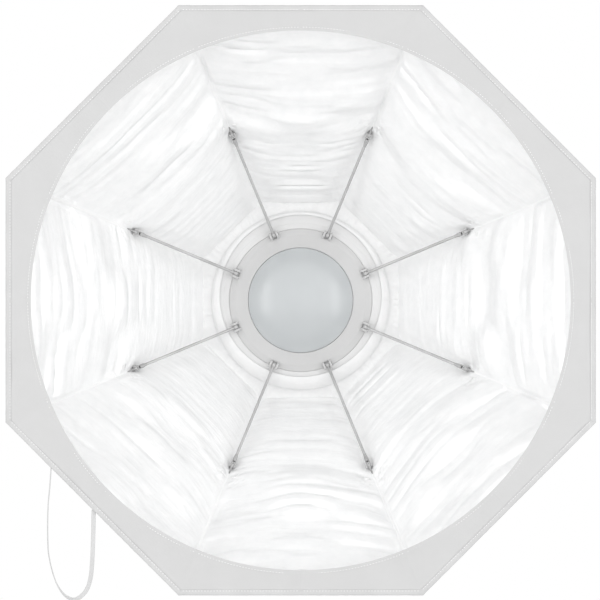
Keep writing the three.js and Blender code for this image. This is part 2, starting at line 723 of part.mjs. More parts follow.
addMesh('mount_insert', mountInsert(), ALUMINIUM);
addMesh('hub_housing', hubHousing(), HUB_PLASTIC);
addMesh('front_bezel', frontBezel(), HUB_PLASTIC);
addMesh('rib_hinge_wire', hingeWire(WIRE_R), STEEL);
SCREW_ANGLES.forEach((angle, k) => {
  addMesh(`insert_screw_${k + 1}`, insertScrew(angle), STEEL);
});
addMesh('release_button_right', releaseButton(), COLLAR_PLASTIC);
addMesh('release_button_left', releaseButton(), COLLAR_PLASTIC, Math.PI);
addMesh('sliding_collar', collar(), COLLAR_PLASTIC);
addMesh('protective_dome', protectiveDome(), DOME_GLASS);

for (let k = 0; k < SIDES; k += 1) {
  const angle = spokeAngle(k);
  const number = k + 1;
  addMesh(`rib_${number}`, rib(), STEEL, angle);
  addMesh(`strut_${number}`, strut(), STEEL, angle);
  addMesh(`strut_rivet_${number}`, strutRivet(), STEEL, angle);
  addMesh(`flap_left_${number}`, flap(1), FABRIC_GREY, angle);
  addMesh(`flap_right_${number}`, flap(-1), FABRIC_GREY, angle);
  addMesh(`gore_panel_${number}`, gorePanel(), SILVER, angle + HALF_STEP);
}

addMesh('strap_loop', strapLoop(), FABRIC_GREY);

export default octabox;
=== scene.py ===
"""Looks of an octagonal, umbrella-framed softbox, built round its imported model.

Lengths are millimetres until a mesh is made. A point is (radius, depth, across): out from
the axis, forward of the rear seat, and round the axis. Each piece is made on the spoke at
angle 0 and turned to its own angle when its mesh is made.
"""

import math

import bpy
import numpy as np
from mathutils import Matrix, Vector


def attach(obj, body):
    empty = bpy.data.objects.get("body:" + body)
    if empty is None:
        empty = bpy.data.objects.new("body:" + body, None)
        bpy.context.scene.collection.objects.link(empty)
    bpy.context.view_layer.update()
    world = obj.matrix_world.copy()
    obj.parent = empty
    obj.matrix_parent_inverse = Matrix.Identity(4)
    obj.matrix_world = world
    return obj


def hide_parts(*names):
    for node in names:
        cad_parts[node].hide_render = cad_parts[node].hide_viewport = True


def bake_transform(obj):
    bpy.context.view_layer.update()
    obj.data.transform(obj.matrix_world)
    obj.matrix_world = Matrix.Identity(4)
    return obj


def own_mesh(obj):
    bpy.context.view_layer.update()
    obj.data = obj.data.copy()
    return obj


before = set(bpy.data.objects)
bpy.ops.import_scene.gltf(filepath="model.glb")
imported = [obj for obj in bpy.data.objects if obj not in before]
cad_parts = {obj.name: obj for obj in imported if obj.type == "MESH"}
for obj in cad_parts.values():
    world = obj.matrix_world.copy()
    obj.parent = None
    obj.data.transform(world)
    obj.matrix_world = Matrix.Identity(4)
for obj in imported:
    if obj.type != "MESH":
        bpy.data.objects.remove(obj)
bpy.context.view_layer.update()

MM = 0.001
SIDES = 8
STEP = 2 * math.pi / SIDES
HALF = STEP / 2

# ---- dimensions, as in the part

APOTHEM = 325.0
FRONT_DEPTH = 285.0
OPENING_R = 299.0
HINGE_R = 107.0
HINGE_DEPTH = 20.0
RIB_BOW = 14.0
RIB_R = 2.0
RIB_STANDOFF = 4.4
STRUT_STATION = 142.0
STRUT_INSET = 10.0
STRUT_R = 1.7
STRUT_INNER = np.array([84.0, 50.0])
STRAP_DEPTH = 282.0

HINGE = np.array([HINGE_R, HINGE_DEPTH])
CORNER = np.array([APOTHEM / math.cos(HALF), FRONT_DEPTH])
CHORD_LENGTH = float(np.linalg.norm(CORNER - HINGE))
ALONG = (CORNER - HINGE) / CHORD_LENGTH
OUTWARD = np.array([ALONG[1], -ALONG[0]])

HUB_APOTHEM = HINGE_R * math.cos(HALF)
HUB_HALF_SIDE = HINGE_R * math.sin(HALF)
RIM_HALF_SIDE = CORNER[0] * math.sin(HALF)
SLOPE = math.hypot(APOTHEM - HUB_APOTHEM, FRONT_DEPTH - HINGE_DEPTH)
GORE_ALONG = np.array([APOTHEM - HUB_APOTHEM, FRONT_DEPTH - HINGE_DEPTH, 0]) / SLOPE
GORE_INWARD = np.array([-GORE_ALONG[1], GORE_ALONG[0], 0])


def bow_at(station):
    part = station / CHORD_LENGTH
    return 4 * RIB_BOW * part * (1 - part)


def rib_point(station, offset):
    """(radius, depth) on a rib's chord at a station, moved outward by offset."""
    return HINGE + ALONG * station + OUTWARD * offset


STRUT_OUTER = rib_point(STRUT_STATION, bow_at(STRUT_STATION) + RIB_STANDOFF - STRUT_INSET)


def smooth(value):
    value = np.clip(value, 0, 1)
    return value * value * (3 - 2 * value)


# ---- camera

CAMERA_DISTANCE = 3.0
VIEW_WIDTH = 0.6643
VIEW_CENTRE = (-0.0008, 0.0003)
SENSOR = 36.0


def add_camera():
    data = bpy.data.cameras.new("camera")
    data.sensor_width = SENSOR
    data.lens = SENSOR * CAMERA_DISTANCE / VIEW_WIDTH
    camera = bpy.data.objects.new("camera", data)
    camera.location = (
        VIEW_CENTRE[0], -FRONT_DEPTH * MM - CAMERA_DISTANCE, VIEW_CENTRE[1],
    )
    camera.rotation_euler = (math.pi / 2, 0, 0)
    bpy.context.scene.collection.objects.link(camera)
    bpy.context.scene.camera = camera


# ---- mesh making

SHARP_ANGLE = 35.0
CUTTER_CHAMFER = 0.01
ACROSS = (0, 0, 1)
RADIAL = (1, 0, 0)


def spun(points, angle):
    """Points turned about the axis."""
    p = np.asarray(points, float)
    c, s = math.cos(angle), math.sin(angle)
    x = p[..., 0] * c - p[..., 2] * s
    z = p[..., 0] * s + p[..., 2] * c
    return np.stack([x, p[..., 1], z], -1)


def turned(points, angle):
    """Spoke points in millimetres, turned to an angle, as metres in the model's frame."""
    return spun(points, angle) * np.array([1, -1, 1]) * MM


def full_turn(count):
    """Angles spaced evenly round the axis."""
    return np.arange(count) * 2 * math.pi / count


def unit(vectors):
    """Vectors of length 1 along the last axis."""
    return vectors / np.linalg.norm(vectors, axis=-1, keepdims=True)


class Shell:
    """One closed surface: points, faces, and each face's material and smoothness."""

    def __init__(self, points, faces, slot=0, uv=None, normals=None, flat=False):
        self.points = np.asarray(points, float).reshape(-1, 3)
        self.faces = [tuple(face) for face in faces]
        count = len(self.faces)
        self.slots = [slot] * count if np.isscalar(slot) else list(slot)
        self.flats = [flat] * count if np.isscalar(flat) else list(flat)
        self.uv = uv
        self.normals = normals
        if self.volume() < 0:
            self.faces = [face[::-1] for face in self.faces]

    def volume(self):
        total = 0.0
        for face in self.faces:
            ring = self.points[list(face)]
            for k in range(1, len(ring) - 1):
                total += np.dot(ring[0], np.cross(ring[k], ring[k + 1]))
        # (radius, depth, across) is a left-handed set of axes once depth runs along -Y.
        return -total

    def moved(self, angle):
        """The same shell, turned about the axis."""
        self.points = spun(self.points, angle)
        if self.normals is not None:
            self.normals = spun(self.normals, angle)
        return self

    def copied(self):
        return Shell(self.points, self.faces, self.slots, self.uv, self.normals, self.flats)


def grid_faces(rows, columns, wrap=False, close=False):
    """Faces of a grid. wrap joins its last column to the first, close its rows."""
    faces = []
    for r in range(rows if close else rows - 1):
        below = (r + 1) % rows
        for c in range(columns if wrap else columns - 1):
            n = (c + 1) % columns
            faces.append((r * columns + c, r * columns + n,
                          below * columns + n, below * columns + c))
    return faces


def end_caps(rows, columns):
    """The two faces that close a tube of rows rings."""
    ring = range(columns)
    return [tuple(ring)[::-1], tuple((rows - 1) * columns + k for k in ring)]


def sheet_shell(front, back, uv, slots=(0, 0, 0), normals=None):
    """A closed sheet between two grids. slots are those of its front, back and rim."""
    rows, columns = front.shape[:2]
    count = rows * columns
    faces = grid_faces(rows, columns)
    ring = (list(range(columns)) + [r * columns + columns - 1 for r in range(1, rows)]
            + [count - 1 - k for k in range(1, columns)]
            + [r * columns for r in range(rows - 2, 0, -1)])
    parts = [
        faces,
        [tuple(count + k for k in quad[::-1]) for quad in faces],
        [(a, count + a, count + b, b) for a, b in zip(ring, ring[1:] + ring[:1])],
    ]
    hard_rim = (False, False, normals is not None)
    return Shell(
        np.concatenate([front.reshape(-1, 3), back.reshape(-1, 3)]),
        [face for part in parts for face in part],
        [slot for part, slot in zip(parts, slots) for _ in part],
        np.concatenate([uv.reshape(-1, 2)] * 2),
        normals,
        [hard for part, hard in zip(parts, hard_rim) for _ in part],
    )


def circle(radius, sides):
    angle = full_turn(sides)
    return np.stack([radius * np.cos(angle), radius * np.sin(angle)], -1)


def reach_along(path):
    """How far each point is from the first, along the path."""
    return np.concatenate([[0], np.cumsum(np.linalg.norm(np.diff(path, axis=0), axis=1))])


SECTION_UV = 8


def sweep(path, side, section, scale=None, slot=0):
    """A section carried along a path. Its first axis follows side; scale is per station."""
    path = np.asarray(path, float)
    tangent = unit(np.gradient(path, axis=0))
    side = np.array(np.broadcast_to(side, path.shape), float)
    side = unit(side - tangent * np.sum(side * tangent, axis=1, keepdims=True))
    up = np.cross(tangent, side)
    scale = np.ones((len(path), 2)) if scale is None else np.asarray(scale, float)
    u, v = np.moveaxis(section * scale[:, None], -1, 0)[..., None]
    points = path[:, None] + side[:, None] * u + up[:, None] * v
    rows, columns = points.shape[:2]
    faces = grid_faces(rows, columns, wrap=True) + end_caps(rows, columns)
    round_it = np.linspace(0, 1, columns, endpoint=False)
    uv = np.stack(np.meshgrid(round_it * SECTION_UV, reach_along(path)), -1).reshape(-1, 2)
    return Shell(points, faces, slot, uv=uv)


def both(scale):
    """One scale per station for both axes of a section."""
    return np.stack([scale, scale], -1)


def capsule(start, end, radius, slot, sides=14, steps=5):
    """A round bar with domed ends."""
    start, end = np.asarray(start, float), np.asarray(end, float)
    way = unit(end - start)
    angle = np.linspace(0.15, math.pi / 2, steps)
    path = [start + way * radius * (1 - math.cos(a)) for a in angle]
    path += [end - way * radius * (1 - math.cos(a)) for a in angle[::-1]]
    scale = np.sin(np.concatenate([angle, angle[::-1]]))
    return sweep(path, ACROSS, circle(radius, sides), both(scale), slot)


def ring_disc(centre, radius, half, slot=0, sides=24, edge=0.5):
    """A short round bar lying across the spoke, with bevelled ends."""
    across = [-half, -half + edge, half - edge, half]
    path = [(centre[0], centre[1], t) for t in across]
    end = (radius - edge) / radius
    return sweep(path, RADIAL, circle(radius, sides), both([end, 1, 1, end]), slot)


def inset(outline, amount):
    """A closed outline moved inwards by amount, along the bisector at each corner."""
    outline = np.asarray(outline, float)
    before = unit(outline - np.roll(outline, 1, axis=0))
    after = unit(np.roll(outline, -1, axis=0) - outline)
    area = np.sum(outline[:, 0] * np.roll(outline[:, 1], -1)
                  - np.roll(outline[:, 0], -1) * outline[:, 1])
    turn = 1 if area > 0 else -1
    normal = unit(np.stack([-(before + after)[:, 1], (before + after)[:, 0]], -1)) * turn
    half_turn = np.sqrt(np.clip((1 + np.sum(before * after, axis=1)) / 2, 0.25, 1))
    return outline + normal * (amount / half_turn)[:, None]


def prism(outline, low, high, chamfer, along="across", slot=0):
    """An outline given thickness, with chamfered edges. It lies across or along the axis."""
    small = inset(outline, chamfer)
    rings = [(small, low), (outline, low + chamfer), (outline, high - chamfer), (small, high)]
    points = []
    for ring, level in rings:
        for first, second in np.asarray(ring, float):
            points.append((first, second, level) if along == "across"
                          else (first, level, second))
    count = len(outline)
    return Shell(points, grid_faces(4, count, wrap=True) + end_caps(4, count), slot)


def drop(round_centre, radius, tip, tail, steps=12):
    """An outline round about one point and as wide as tail at the other."""
    round_centre, tip = np.asarray(round_centre, float), np.asarray(tip, float)
    way = unit(tip - round_centre)
    side = np.array([-way[1], way[0]])
    angle = np.linspace(math.pi / 2, 3 * math.pi / 2, steps + 1)[:, None]
    arc = round_centre + radius * (way * np.cos(angle) + side * np.sin(angle))
    return np.array([tip - side * tail, tip + side * tail, *arc])


def rectangle(first, second):
    """The four corners between two pairs of values."""
    return [(first[0], second[0]), (first[1], second[0]),
            (first[1], second[1]), (first[0], second[1])]


def pocket_shell(radii, depths, half_width):
    """A block for cut(), with hardly any chamfer."""
    return prism(rectangle(radii, depths), -half_width, half_width, CUTTER_CHAMFER)


def revolved(outline, segments, lift=0.0):
    """Each outline point's circle about the axis, moved up the Z axis by its lift."""
    outline = np.asarray(outline, float)
    angle = full_turn(segments)[:, None]
    x = np.cos(angle) * outline[:, 0]
    z = np.sin(angle) * outline[:, 0] + lift
    return np.stack([x, np.broadcast_to(outline[:, 1], x.shape), z], -1)


def lathe(outline, segments=144, lift=0.0):
    """A ring turned about the axis."""
    points = revolved(outline, segments, lift)
    return Shell(points, grid_faces(segments, len(outline), wrap=True, close=True))


def cap_lathe(outline, segments=144):
    """A closed body turned about the axis, from an outline that starts and ends on it."""
    ring = revolved(outline[1:-1], segments).reshape(-1, 3)
    points = np.concatenate([ring, [(0, outline[0][1], 0), (0, outline[-1][1], 0)]])
    count = len(outline) - 2
    first, last = segments * count, segments * count + 1
    faces = grid_faces(segments, count, close=True)
    for k in range(segments):
        nxt = (k + 1) % segments
        faces.append((first, k * count, nxt * count))
        faces.append((last, nxt * count + count - 1, k * count + count - 1))
    return Shell(points, faces)


def make(name, shells, materials, angle=0.0, sharp=SHARP_ANGLE):
    """One object from closed shells, with UVs in millimetres where a shell has them."""
    faces, slots, flats, uvs, normals = [], [], [], [], []
    start = 0
    for shell in shells:
        uv = np.zeros((len(shell.points), 2)) if shell.uv is None else shell.uv
        slots += shell.slots
        flats += shell.flats
        for face, flat in zip(shell.faces, shell.flats):
            plain = flat or shell.normals is None
            faces.append([start + k for k in face])
            uvs += [uv[k] for k in face]
            normals += [(0, 0, 0) if plain else shell.normals[k] for k in face]
        start += len(shell.points)
    points = np.concatenate([turned(shell.points, angle) for shell in shells])
    mesh = bpy.data.meshes.new(name)
    mesh.from_pydata(points.tolist(), [], faces)
    for material in materials:
        mesh.materials.append(material)
    mesh.polygons.foreach_set("material_index", slots)
    mesh.polygons.foreach_set("use_smooth", [not flat for flat in flats])
    layer = mesh.uv_layers.new(name="UVMap")
    layer.data.foreach_set("uv", np.asarray(uvs, np.float32).ravel())
    mesh.set_sharp_from_angle(angle=math.radians(sharp))
    if any(shell.normals is not None for shell in shells):
        mesh.normals_split_custom_set((turned(normals, angle) / MM).tolist())
    mesh.validate()
    mesh.update()
    thing = bpy.data.objects.new(name, mesh)
    bpy.context.scene.collection.objects.link(thing)
    return thing


def cut(thing, pockets):
    """Takes each pocket's volume away from a piece, at each of the pocket's angles."""
    cutters = [make("cutter", [pocket], thing.data.materials, angle)
               for pocket, angles in pockets for angle in angles]
    for cutter in cutters:
        modifier = thing.modifiers.new("cut", "BOOLEAN")
        modifier.operation = "DIFFERENCE"
        modifier.solver = "EXACT"
        modifier.object = cutter
    graph = bpy.context.evaluated_depsgraph_get()
    thing.data = bpy.data.meshes.new_from_object(thing.evaluated_get(graph))
    thing.data.set_sharp_from_angle(angle=math.radians(SHARP_ANGLE))
    thing.modifiers.clear()
    for cutter in cutters:
        bpy.data.objects.remove(cutter)


def place(thing, body, slot, *nodes):
    """Puts a piece on a body, instead of CAD nodes where it has any. Its slot is not used."""
    if nodes:
        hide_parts(*nodes)
    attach(thing, body)
    return thing


def spoke(number):
    """The angle of rib number 1 to 8."""
    return HALF + STEP * (number - 1)


SPOKES = [spoke(number) for number in range(1, SIDES + 1)]


# ---- materials

# A noise texture's values lie mostly between these two.
FAC_LOW, FAC_HIGH = 0.3, 0.7


class Material:
    """A node material with helpers for textures, colour variation and bump."""

    def __init__(self, name, colour, roughness, metallic=0.0, **sockets):
        self.data = bpy.data.materials.new(name)
        self.data.use_nodes = True
        self.data.diffuse_color = (*colour, 1)
        self.nodes = self.data.node_tree.nodes
        self.links = self.data.node_tree.links
        self.shader = self.nodes["Principled BSDF"]
        self.shader.inputs["Base Color"].default_value = (*colour, 1)
        self.shader.inputs["Roughness"].default_value = roughness
        self.shader.inputs["Metallic"].default_value = metallic
        for key, value in sockets.items():
            self.shader.inputs[key.replace("_", " ")].default_value = value
        self.coords = self.nodes.new("ShaderNodeTexCoord")
        self.bump = None

    def add(self, kind, **inputs):
        """A new node, whose inputs are given values or linked from sockets."""
        made = self.nodes.new(kind)
        for key, value in inputs.items():
            socket = made.inputs[key.replace("_", " ")]
            if isinstance(value, bpy.types.NodeSocket):
                self.links.new(value, socket)
            else:
                socket.default_value = value
        return made

    def mapped(self, source, scale=(1, 1, 1)):
        coords = self.coords.outputs[source]
        return self.add("ShaderNodeMapping", Scale=scale, Vector=coords).outputs["Vector"]

    def noise(self, scale, detail=3.0, source="Object", stretch=(1, 1, 1), rough=0.5):
        return self.add("ShaderNodeTexNoise", Scale=scale, Detail=detail, Roughness=rough,
                        Vector=self.mapped(source, stretch)).outputs["Fac"]

    def bands(self, pitch, direction):
        """A wave from 0 to 1 that repeats each pitch millimetres along X or Y of the UVs."""
        texture = self.add("ShaderNodeTexWave", Scale=2 * math.pi / (20 * pitch),
                           Distortion=0.0, Vector=self.mapped("UV"))
        texture.bands_direction = direction
        return texture.outputs["Fac"]

    def math(self, operation, first, second):
        node = self.nodes.new("ShaderNodeMath")
        node.operation = operation
        for socket, value in zip(node.inputs, (first, second)):
            if isinstance(value, (int, float)):
                socket.default_value = value
            else:
                self.links.new(value, socket)
        return node.outputs["Value"]

    def vary(self, socket, fac, low, high):
        """Drives a shader socket between two numbers or two colours by a texture."""
        if isinstance(low, (int, float)):
            node = self.add("ShaderNodeMapRange", Value=fac, From_Min=FAC_LOW,
                            From_Max=FAC_HIGH, To_Min=low, To_Max=high)
            self.links.new(node.outputs["Result"], self.shader.inputs[socket])
            return
        node = self.add("ShaderNodeValToRGB", Fac=fac)
        for element, position, colour in zip(
                node.color_ramp.elements, (FAC_LOW, FAC_HIGH), (low, high)):
            element.position = position
            element.color = (*colour, 1)
        self.links.new(node.outputs["Color"], self.shader.inputs[socket])

    def emboss(self, height, distance, strength=1.0):
        """Adds a bump of that many millimetres on top of those before it."""
        node = self.add("ShaderNodeBump", Distance=distance * MM, Strength=strength,
                        Height=height)
        if self.bump is not None:
            self.links.new(self.bump, node.inputs["Normal"])
        self.bump = node.outputs["Normal"]
        self.links.new(self.bump, self.shader.inputs["Normal"])


def shade(value, tint=(1.0, 1.0, 1.0)):
    """A linear colour from a grey level between 0 and 1 as the eye reads it."""
    linear = value ** 2.2
    return tuple(linear * part for part in tint)


def woven(name, level, pitch, uneven=0.02, roughness=0.85, sheen=0.25):
    """Plain-woven cloth: crossed threads, uneven dye, a soft sheen."""
    made = Material(name, shade(level), roughness, Sheen_Weight=sheen, Sheen_Roughness=0.5)
    weave = made.math("MULTIPLY", made.bands(pitch, "X"), made.bands(pitch, "Y"))
    blotch = made.noise(34.0, 4.0)
    mix = made.math("ADD", made.math("MULTIPLY", weave, 0.35),
                    made.math("MULTIPLY", blotch, 0.75))
    made.vary("Base Color", mix, shade(level - uneven), shade(level + uneven))
    made.vary("Roughness", blotch, roughness - 0.08, roughness + 0.08)
    made.emboss(weave, 0.12)
    made.emboss(made.noise(260.0, 3.0), 0.12)
    return made.data


def silver_lining(name, level):
    """Silvered nylon: bright, finely ribbed and crinkled."""
    made = Material(name, shade(level, (0.998, 0.999, 1.0)), 0.4, 0.4)
    fine = made.noise(70.0, 5.0, rough=0.62)
    made.vary("Roughness", made.noise(18.0, 4.0), 0.35, 0.48)
    made.vary("Base Color", fine, shade(level - 0.01, (0.994, 0.998, 1.0)), shade(level + 0.01))
    weave = made.math("MULTIPLY", made.bands(0.9, "X"), made.bands(0.9, "Y"))
    made.emboss(weave, 0.03)
    crinkle = made.noise(0.16, 4.0, "UV", (0.45, 1.6, 1.0), 0.6)
    made.emboss(crinkle, 0.8, 0.5)
    made.emboss(fine, 0.35, 0.4)
    return made.data


def plastic(name, level, roughness):
    """Moulded plastic: fine spark texture, faint flow marks and handling wear."""
    made = Material(name, shade(level), roughness)
    flow = made.noise(14.0, 4.0)
    made.vary("Base Color", flow, shade(level - 0.015), shade(level + 0.015))
    made.vary("Roughness", made.noise(55.0, 5.0), roughness - 0.07, roughness + 0.07)
    made.emboss(made.noise(900.0, 2.0), 0.05)
    return made.data


def steel(name, level, roughness, metallic=0.9):
    """Drawn wire or turned steel with light drawing lines and duller patches."""
    made = Material(name, shade(level), roughness, metallic)
    made.vary("Roughness", made.noise(40.0, 5.0), roughness - 0.1, roughness + 0.12)
    made.vary("Base Color", made.noise(25.0, 3.0), shade(level - 0.05), shade(level + 0.03))
    made.emboss(made.noise(700.0, 2.0, stretch=(1, 0.15, 1)), 0.02)
    return made.data


def dome_finish():
    """Frosted glass with a clear gloss over it, faintly blue-grey and a little cloudy."""
    made = Material("dome_finish", shade(0.735, (0.95, 1.0, 1.02)), 0.34,
                    Coat_Weight=1.0, Coat_Roughness=0.22, Coat_IOR=1.8)
    cloud = made.noise(9.0, 3.0)
    made.vary("Base Color", cloud,
              shade(0.725, (0.945, 0.998, 1.018)), shade(0.745, (0.955, 1.0, 1.022)))
    made.vary("Roughness", made.noise(30.0, 4.0), 0.3, 0.38)
    made.emboss(made.noise(500.0, 2.0), 0.01)
    return made.data


CLOTH = woven("outer_cloth", 0.793, 1.1)
LIP_CLOTH = woven("lip_cloth", 0.785, 1.1, uneven=0.008)
TAPE = woven("edge_tape", 0.79, 0.8)
RIBBON = woven("ribbon_weave", 0.80, 0.7)
THREAD = woven("thread", 0.98, 0.5, uneven=0.01, sheen=0.4)
SILVER = silver_lining("silver_lining", 0.968)
# The hem and skirts take a darker copy of the same lining: painted shade that tones them down
# where they face the lights more than the bowl's walls.
SILVER_SHADED_COPY = silver_lining("silver_lining_painted_shade", 0.90)
HUB_PLASTIC = plastic("hub_moulding", 0.87, 0.5)
COLLAR_PLASTIC = plastic("collar_moulding", 0.793, 0.42)
BUTTON_PLASTIC = plastic("button_moulding", 0.55, 0.45)
# Near-black for the screws' cross recesses: painted shade where the hollow would be dark.
SCREW_RECESS_SHADE = plastic("recess_painted_shade", 0.2, 0.6)
DOME = dome_finish()
WIRE = steel("strut_wire", 0.745, 0.4, 0.6)
FORK = steel("fork_forging", 0.70, 0.45, 0.6)
SCREW = steel("screw_steel_finish", 0.78, 0.3)
CASTING = steel("insert_casting", 0.86, 0.42)

# ---- carry loop

STRAP_ROUTE = [
    (-277, -191), (-278, -206), (-280, -228), (-280.5, -251), (-280, -275), (-278, -289),
    (-274.5, -303), (-269.5, -316), (-262.5, -326), (-254.5, -331), (-247, -330.5),
    (-238, -322), (-233, -308), (-231, -287), (-230, -260), (-229.6, -238),
]
# The ribbon goes on from both ends of its route into the octagon's edge.
STRAP_SEWN_START = (-276.6, -184.8)
STRAP_SEWN_END = (-229.3, -232)
STRAP_WIDTH = 4.8
STRAP_THICKNESS = 1.2
STRAP_TWIST = math.radians(82)


def rounded_curve(points, per_span=6):
    """A Catmull-Rom curve through the points."""
    points = np.asarray(points, float)
    padded = np.concatenate([[2 * points[0] - points[1]], points,
                             [2 * points[-1] - points[-2]]])
    curve = []
    for k in range(len(points) - 1):
        a, b, c, d = padded[k:k + 4]
        for part in np.arange(per_span) / per_span:
            curve.append(0.5 * (2 * b + (c - a) * part
                                + (2 * a - 5 * b + 4 * c - d) * part ** 2
                                + (3 * b - 3 * c + d - a) * part ** 3))
    curve.append(points[-1])
    return np.array(curve)


def ribbon_section():
    """The outline of the flat ribbon, with soft edges."""
    half, thick = STRAP_WIDTH / 2, STRAP_THICKNESS / 2
    return np.array([
        (half, 0.0), (half - 0.25, thick * 0.8), (half - 0.7, thick), (0, thick * 0.85),
        (0.7 - half, thick), (0.25 - half, thick * 0.8), (-half, 0.0),
        (0.25 - half, -thick * 0.8), (0.7 - half, -thick), (0, -thick * 0.85),
        (half - 0.7, -thick), (half - 0.25, -thick * 0.8),
    ])


def add_strap():
    route = rounded_curve([STRAP_SEWN_START, *STRAP_ROUTE, STRAP_SEWN_END])
    path = np.stack([route[:, 0], np.full(len(route), STRAP_DEPTH), route[:, 1]], -1)
    part = np.linspace(0, 1, len(path))
    turn = (1 - smooth((part - 0.42) / 0.3))[:, None] * STRAP_TWIST
    depthwise = np.broadcast_to(np.array([0.0, 1.0, 0.0]), path.shape)
    inplane = np.cross(unit(np.gradient(path, axis=0)), depthwise)
    side = inplane * np.cos(turn) + depthwise * np.sin(turn)
    strap = make("strap_ribbon", [sweep(path, side, ribbon_section())], [RIBBON])
    place(strap, "flap_left_5", "ribbon", "strap_loop")


add_camera()
add_strap()

# ---- the canopy
# A gore is laid out in (s, w): s runs up its slope from the hub's edge, and w across it.

ROWS = 134
FLAP_COLUMNS = 26
PANEL_COLUMNS = 15
FABRIC_HALF = 0.3
FIRST_ROW = 0.8
RIM_MARGIN = 3
TAB_SLIT = 1.4
SOFT_ANGLE = 60.0
TACK_BEYOND, TACK_FROM_RIB = 19, 8.5
TACK_LENGTH, TACK_WIDTH, TACK_HEIGHT = 4.5, 1.1, 0.7
NEAR_STRENGTH = {1: 0.6, 2: 1.2, 3: 0.6, 4: 0.45, 5: 0.6, 6: 0.9, 7: 0.6, 8: 0.45}
FAR_STRENGTH = {1: 1.0, 2: 1.25, 3: 0.9, 4: 0.85, 5: 0.95, 6: 1.4, 7: 0.95, 8: 0.95}


def noise(x, y, seed):
    """Smooth value noise from -1 to 1 on a seeded table, the same on every run."""
    table = np.random.RandomState(seed).uniform(-1, 1, (64, 64))
    i, j = np.floor(x).astype(int), np.floor(y).astype(int)
    u, v = x - i, y - j
    u = u ** 3 * (u * (u * 6 - 15) + 10)
    v = v ** 3 * (v * (v * 6 - 15) + 10)
    corner = [[table[(i + a) % 64, (j + b) % 64] for b in (0, 1)] for a in (0, 1)]
    low = corner[0][0] * (1 - v) + corner[0][1] * v
    high = corner[1][0] * (1 - v) + corner[1][1] * v
    return low * (1 - u) + high * u


def ridged(value, sharpness=0.02):
    return np.sqrt(value * value + sharpness)


def rib_half_width(s):
    part = s / SLOPE
    return HUB_HALF_SIDE * (1 - part) + RIM_HALF_SIDE * part


def panel_half_width(s):
    return HUB_HALF_SIDE * (1 - s / SLOPE)


def crease_height(s, w, gore):
    """How far the lining stands in from its smooth surface, in millimetres.

    Short tight folds lie near the hub and broad ones further out. Each noise() divides
    s and w by the folds' spacing and length. A crumpled spot is outside the strut's end.
    """
    seed = 10 * gore
    edge = rib_half_width(s) - np.abs(w)
    line = s - 2 * (w / 60) ** 2 + 4 * noise(s / 80, w / 90, seed + 1)
    near = smooth(s / 16) * (1 - smooth((s - 118) / 60))
    far = smooth((s - 105) / 80)
    tight = ridged(noise(line / 9, w / 95, seed + 2)) - 0.35
    finer = noise(line / 5, w / 60, seed + 3)
    patch = smooth(0.5 + noise(s / 40, w / 45, seed + 4))
    height = NEAR_STRENGTH[gore] * near * (2.6 * tight * patch + 0.4 * finer)
    broad = noise(line / 34, w / 60, seed + 5)
    middling = ridged(noise(line / 17, w / 75, seed + 6)) - 0.35
    small = noise(line / 7, w / 26, seed + 7)
    height += FAR_STRENGTH[gore] * far * (6.0 * broad + 4.2 * middling + 0.6 * small)
    spot_s = SLOPE * (STRUT_STATION + 20) / CHORD_LENGTH
    spot = np.hypot(s - spot_s, np.abs(w) - rib_half_width(spot_s))
    crumple = noise(s / 5.0, w / 5.0, seed + 8) + 0.6 * noise(s / 2.6, w / 2.6, seed + 9)
    height += 1.0 * np.exp(-(spot / 17) ** 2) * crumple
    return height * smooth(edge / 7) * smooth((SLOPE - s - RIM_MARGIN) / 18)


def hinge_hump(s, w):
    """The lining passes in front of the hinge cheeks beside each rib's eye."""
    station = s / SLOPE * CHORD_LENGTH
    across = (rib_half_width(s) - np.abs(w)) * math.cos(HALF)
    return 5.6 * (1 - smooth((station - 1.5) / 13)) * (1 - smooth((across - 8.5) / 9))


def gore_surface(s, w, gore, shift=0.0):
    """A point of the canopy, shifted inwards by shift, on the gore's own spoke."""
    part = s / SLOPE
    width = RIM_HALF_SIDE * np.maximum(part, 1e-6)
    fan = np.clip((rib_half_width(s) - np.abs(w)) / width, 0, 1)
    bow = bow_at(part * CHORD_LENGTH) * (1 - fan) ** 2
    side = np.sign(w)
    rise = shift + crease_height(s, w, gore) + hinge_hump(s, w)
    radius = (HUB_APOTHEM + GORE_ALONG[0] * s + bow * OUTWARD[0] * math.cos(HALF)
              + rise * GORE_INWARD[0])
    depth = HINGE_DEPTH + GORE_ALONG[1] * s + bow * OUTWARD[1] + rise * GORE_INWARD[1]
    across = w + side * bow * OUTWARD[0] * math.sin(HALF)
    return np.stack([radius, depth, across], -1)


def surface_normal(s, w, gore):
    """The inward normal of the creased surface."""
    step = 0.5
    ds = gore_surface(s + step, w, gore) - gore_surface(s - step, w, gore)
    dw = gore_surface(s, w + step, gore) - gore_surface(s, w - step, gore)
    normal = unit(np.cross(ds, dw))
    facing = np.sum(normal * GORE_INWARD, axis=-1, keepdims=True)
    return np.where(facing < 0, -normal, normal)


def fabric_shell(s, w, gore):
    """A closed sheet over a grid of (s, w): silver inside, cloth outside and at the edges."""
    inward = surface_normal(s, w, gore)
    middle = gore_surface(s, w, gore)
    normals = np.concatenate([inward.reshape(-1, 3), -inward.reshape(-1, 3)])
    return sheet_shell(middle + inward * FABRIC_HALF, middle - inward * FABRIC_HALF,
                       np.stack([w, s], -1), (0, 1, 1), normals)


ALL_ROWS = np.linspace(FIRST_ROW, SLOPE, ROWS)


